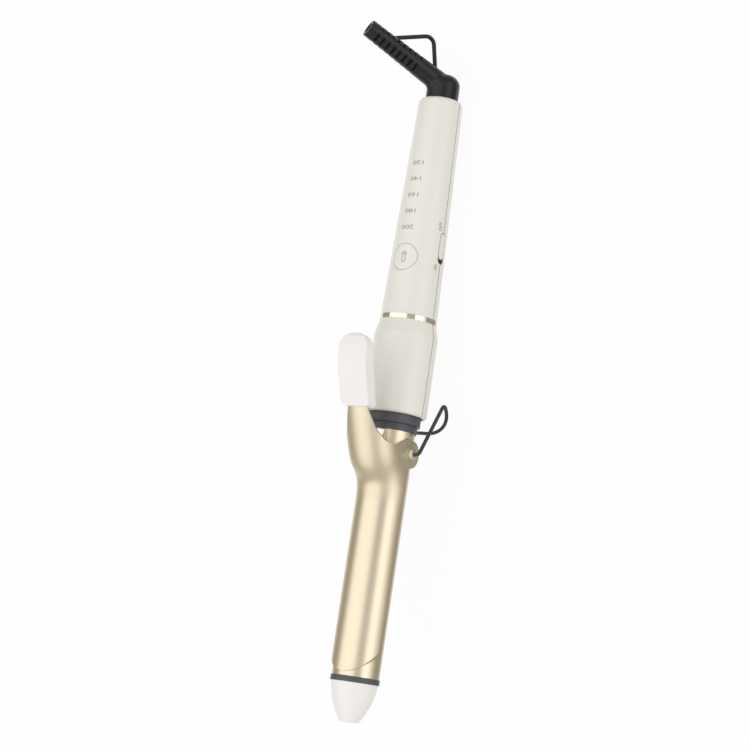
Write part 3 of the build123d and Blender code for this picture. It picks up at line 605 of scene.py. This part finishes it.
def leaf_path(samples):
    """Middle line of the leaf: a cubic B-spline over the foot, the bend on the barrel and the upright leg."""
    corners = np.array(LEAF_FOOT + LEAF_BEND + LEAF_LEG)
    spans = len(corners) - 3
    travelled = np.linspace(0, spans - 1e-9, samples)
    start = travelled.astype(int)
    t = (travelled - start)[:, None]
    weights = ((1 - t) ** 3, 3 * t**3 - 6 * t**2 + 4, -3 * t**3 + 3 * t**2 + 3 * t + 1, t**3)
    return sum(weight * corners[start + step] for step, weight in enumerate(weights)) / 6


def leaf_surface(half_width, half_thickness):
    """A flat rounded section, superellipse of width and thickness, carried along the leaf's middle line."""
    line = leaf_path(90)
    slope = np.gradient(line, axis=0)
    slope /= np.linalg.norm(slope, axis=1, keepdims=True)
    turn = np.linspace(0, 2 * math.pi, 48, endpoint=False)
    side = half_width * np.sign(np.cos(turn)) * np.abs(np.cos(turn)) ** 0.25
    rise = half_thickness * np.sign(np.sin(turn)) * np.abs(np.sin(turn)) ** 0.6
    x = line[:, None, 0] - slope[:, None, 1] * rise
    z = line[:, None, 1] + slope[:, None, 0] * rise
    y = np.broadcast_to(side, x.shape)
    rows, columns = x.shape
    ends = [list(range(columns)), list(range((rows - 1) * columns, rows * columns))]
    faces = grid_faces(rows, columns, close_columns=True).tolist() + ends
    return np.stack([x, y, z], axis=-1).reshape(-1, 3), faces


class IRON_OT_spring(bpy.types.Operator):
    """Makes the bent leaf spring between the barrel and the arm of the clamp"""

    bl_idname = "iron.spring"
    bl_label = "Make the leaf spring"

    def execute(self, context):
        points, faces = leaf_surface(LEAF_HALF_WIDTH, LEAF_HALF_THICKNESS)
        leaf = new_piece("leaf_spring", place(points), faces)
        leaf.data.materials.append(satin_metal("bright_spring_steel", (0.78, 0.74, 0.66), 0.18))
        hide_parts("clamp_spring")
        foot, top = place([LEAF_FIXED, LEAF_MOVED])
        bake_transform(leaf)
        return {"FINISHED"}


def text_solid(words):
    """A line of text as a closed solid: points across and up from its middle, 1 high, and 0 or 1 deep."""
    curve = bpy.data.curves.new("words", "FONT")
    curve.body = words
    curve.extrude = 0.5
    curve.resolution_u = 4
    holder = bpy.data.objects.new("words", curve)
    bpy.context.scene.collection.objects.link(holder)
    bpy.context.view_layer.update()
    shape = bpy.data.meshes.new_from_object(holder.evaluated_get(bpy.context.evaluated_depsgraph_get()))
    bpy.data.objects.remove(holder)
    bpy.data.curves.remove(curve)
    points = np.empty(len(shape.vertices) * 3, np.float32)
    shape.vertices.foreach_get("co", points)
    points = points.reshape(-1, 3).astype(float)
    faces = [polygon.vertices[:] for polygon in shape.polygons]
    bpy.data.meshes.remove(shape)
    low = points.min(0)
    high = points.max(0)
    size = high - low
    size[0] = size[1]
    middle = (low + high) / 2
    middle[2] = low[2]
    return (points - middle) / size, faces


def ink_lift(depth):
    """Height of a point of the ink over the skin: under it at depth 0, proud of it at depth 1."""
    return depth * (INK_PROUD + INK_UNDER) - INK_UNDER


def arc(centre, radius, start, end, samples):
    """Points on a circle about a centre on the middle line, from one angle to another, end left out."""
    turn = np.linspace(start, end, samples, endpoint=False)
    return np.stack([centre + radius * np.cos(turn), radius * np.sin(turn)], axis=1)


def thermometer_outline():
    """Closed line of a thermometer: most of the bulb's circle, two straight sides and a round end."""
    neck = math.pi - math.asin(STEM_HALF_WIDTH / BULB_RADIUS)
    bulb = arc(BULB_AT, BULB_RADIUS, neck, -neck, samples=40)
    end = arc(STEM_END, STEM_HALF_WIDTH, -math.pi / 2, -3 * math.pi / 2, samples=20)
    return np.concatenate([bulb, end])


def scale_mark():
    """Closed line of the small upright mark in the bulb: two round ends."""
    first = arc(SCALE_ENDS[0], SCALE_ROUND, math.pi / 2, -math.pi / 2, samples=10)
    second = arc(SCALE_ENDS[1], SCALE_ROUND, -math.pi / 2, -3 * math.pi / 2, samples=10)
    return np.concatenate([first, second])


def ink_line(line, width):
    """A closed line on the button as a band of ink: the line moved half the width out and in, twice."""
    ahead = np.roll(line, -1, axis=0) - np.roll(line, 1, axis=0)
    ahead /= np.linalg.norm(ahead, axis=1, keepdims=True)
    aside = np.stack([-ahead[:, 1], ahead[:, 0]], axis=1)
    outward = np.array([1.0, -1.0, -1.0, 1.0]) * width / 2
    lift = ink_lift(np.array([0.0, 0.0, 1.0, 1.0]))
    x = BUTTON_AT + line[:, None, 0] + aside[:, None, 0] * outward
    turn = (line[:, None, 1] + aside[:, None, 1] * outward) / skin_radius(BUTTON_AT)
    points = on_skin(x, turn, np.broadcast_to(lift, x.shape))
    return points.reshape(-1, 3), grid_faces(len(line), 4, close_rows=True, close_columns=True)


class IRON_OT_marks(bpy.types.Operator):
    """Prints the temperature numerals, the switch labels and the thermometer on the button"""

    bl_idname = "iron.marks"
    bl_label = "Print the marks"

    def execute(self, context):
        marks = context.scene.iron_marks
        ink = printed("grey_ink", context.scene.iron_finishes.ink)
        for words, station in NUMERALS.items():
            shape, faces = text_solid(words)
            x = station - shape[:, 1] * marks.numeral_height
            width = marks.numeral_height * marks.numeral_stretch
            turn = marks.numeral_turn + shape[:, 0] * width / skin_radius(station)
            points = on_skin(x, turn, ink_lift(shape[:, 2]))
            print_piece("numeral_" + words, points, faces, ink, "iron")
        for words, station in SWITCH_LABELS.items():
            shape, faces = text_solid(words)
            x = station + shape[:, 0] * marks.letter_width * len(words) / np.ptp(shape[:, 0])
            turn = marks.label_turn + shape[:, 1] * marks.label_height / skin_radius(station)
            points = on_skin(x, turn, ink_lift(shape[:, 2]))
            print_piece("label_" + words.lower(), points, faces, ink, "iron")
        for name, line in (("thermometer", thermometer_outline()), ("thermometer_scale", scale_mark())):
            points, faces = ink_line(line, marks.outline_width)
            print_piece(name, points, faces, ink, "button")
        return {"FINISHED"}


def rectangle_lamp(name, spot, aim, width, height, power):
    """A soft rectangular lamp at a spot, turned to its aim."""
    data = bpy.data.lights.new(name, "AREA")
    data.shape = "RECTANGLE"
    data.size = width
    data.size_y = height
    data.energy = power
    lamp = bpy.data.objects.new(name, data)
    lamp.location = spot
    lamp.rotation_euler = (Vector(aim) - Vector(spot)).to_track_quat("-Z", "Y").to_euler()
    bpy.context.scene.collection.objects.link(lamp)


def dark_card(name, corner, first_side, second_side, material):
    """A flat card, corner + u first side + v second side, that only shows in reflections."""
    rows, columns = 5, 3
    steps = np.meshgrid(np.linspace(0, 1, rows), np.linspace(0, 1, columns), indexing="ij")
    u, v = (side.ravel()[:, None] for side in steps)
    points = np.array(corner) + u * np.array(first_side) + v * np.array(second_side)
    card = new_piece(name, points, grid_faces(rows, columns))
    card.data.materials.append(material)
    card.visible_camera = False
    card.visible_diffuse = False
    card.visible_transmission = False
    card.visible_shadow = False


class IRON_OT_stage(bpy.types.Operator):
    """Sets up the floor, the soft lamps, the pale surroundings, the dark cards and the camera"""

    bl_idname = "iron.stage"
    bl_label = "Set up the studio"

    def execute(self, context):
        scene = context.scene
        studio = scene.iron_studio
        self.floor()
        self.cards()
        self.surroundings(scene, studio)
        rectangle_lamp("overhead_lamp", *OVERHEAD_LAMP, studio.overhead)
        rectangle_lamp("front_lamp", *FRONT_LAMP, studio.front)
        self.camera(scene, studio)
        scene.view_settings.view_transform = "Standard"
        return {"FINISHED"}

    def floor(self):
        """A wide pale disc, radius by turn, that camera and mirror rays see nearly white, with its shadow."""
        rings, spokes = 24, 96
        reach = np.linspace(0, 1, rings)[:, None] ** 2 * FLOOR_REACH
        turn = np.linspace(0, 2 * math.pi, spokes, endpoint=False)[None, :]
        points = np.stack([reach * np.cos(turn), reach * np.sin(turn), np.zeros((rings, spokes))], axis=-1)
        disc = new_piece("floor", points.reshape(-1, 3), grid_faces(rings, spokes, close_columns=True))
        paper = finish("pale_floor")
        rays = ("Is Camera Ray", "Is Glossy Ray", "Is Transmission Ray")
        camera, glossy, through = (paper.node("ShaderNodeLightPath", {}, {}, ray) for ray in rays)
        matt = paper.node("ShaderNodeBsdfDiffuse", {}, {"Color": FLOOR_COLOUR})
        white = paper.node("ShaderNodeEmission", {}, {"Color": WHITE, "Strength": 1.0})
        seen = (camera + glossy + through) * FLOOR_GLOW
        mixed = paper.node("ShaderNodeMixShader", {}, {0: seen, 1: matt, 2: white})
        disc.data.materials.append(paper.end(mixed))

    def cards(self):
        """Two dark cards along the iron: one lies on the floor in front of it, one stands behind it."""
        card = finish("dark_card")
        dark = card.end(card.node("ShaderNodeEmission", {}, {"Color": CARD_COLOUR, "Strength": 1.0}))
        dark_card("floor_card", *FLOOR_CARD, dark)
        dark_card("back_card", *BACK_CARD, dark)

    def surroundings(self, scene, studio):
        """Even pale surroundings, plain white to the camera."""
        scene.world = bpy.data.worlds.new("studio")
        pale = Finish(scene.world)
        light = pale.node("ShaderNodeBackground", {}, {"Color": WHITE, "Strength": studio.surround})
        white = pale.node("ShaderNodeBackground", {}, {"Color": WHITE, "Strength": 1.0})
        camera = pale.node("ShaderNodeLightPath", {}, {}, "Is Camera Ray")
        mixed = pale.node("ShaderNodeMixShader", {}, {0: camera, 1: light, 2: white})
        pale.end(mixed, "ShaderNodeOutputWorld")

    def camera(self, scene, studio):
        """Camera at the distance from the aim, with the iron's lean, roll and tilt in the picture."""
        across = -math.sin(studio.roll) * math.cos(studio.tilt)
        upward = math.cos(studio.roll) * math.cos(studio.tilt)
        back = -math.sin(studio.tilt) * ALONG + across * ACROSS + upward * UPWARD
        ahead = ALONG - ALONG.dot(back) * back
        ahead /= np.linalg.norm(ahead)
        beside = np.cross(ahead, back)
        right = math.sin(studio.lean) * ahead + math.cos(studio.lean) * beside
        top = math.cos(studio.lean) * ahead - math.sin(studio.lean) * beside
        aim = PIVOT + ALONG * studio.aim_along * MM - beside * studio.aim_aside * MM
        spot = aim + back * studio.distance
        data = bpy.data.cameras.new("picture_camera")
        data.lens = studio.lens
        data.sensor_width = 36.0
        data.clip_start = 0.01
        data.clip_end = 50.0
        camera = bpy.data.objects.new("picture_camera", data)
        turned = Matrix((right, top, back)).transposed().to_4x4()
        turned.translation = Vector(spot)
        camera.matrix_world = turned
        scene.collection.objects.link(camera)
        scene.camera = camera


class IRON_PT_panel(bpy.types.Panel):
    """Lists the steps and the settings"""

    bl_label = "Curling Iron"
    bl_idname = "IRON_PT_panel"
    bl_space_type = "VIEW_3D"
    bl_region_type = "UI"
    bl_category = "Curling Iron"

    def draw(self, context):
        for step in STEPS:
            self.layout.operator(step.bl_idname)
        for group in (context.scene.iron_finishes, context.scene.iron_marks, context.scene.iron_studio):
            box = self.layout.box()
            for key in group.__annotations__:
                box.prop(group, key)


STEPS = (IRON_OT_metal, IRON_OT_plastic, IRON_OT_insides, IRON_OT_spring, IRON_OT_marks, IRON_OT_stage)
GROUPS = {"iron_finishes": IronFinishes, "iron_marks": IronMarks, "iron_studio": IronStudio}


def register():
    for group in GROUPS.values():
        bpy.utils.register_class(group)
    for name, group in GROUPS.items():
        setattr(bpy.types.Scene, name, bpy.props.PointerProperty(type=group))
    for step in STEPS:
        bpy.utils.register_class(step)
    bpy.utils.register_class(IRON_PT_panel)


def unregister():
    bpy.utils.unregister_class(IRON_PT_panel)
    for step in reversed(STEPS):
        bpy.utils.unregister_class(step)
    for name in GROUPS:
        delattr(bpy.types.Scene, name)
    for group in reversed(GROUPS.values()):
        bpy.utils.unregister_class(group)


def main():
    register()
    bpy.ops.iron.metal()
    bpy.ops.iron.plastic()
    bpy.ops.iron.insides()
    bpy.ops.iron.spring()
    bpy.ops.iron.marks()
    bpy.ops.iron.stage()


if __name__ == "__main__":
    main()
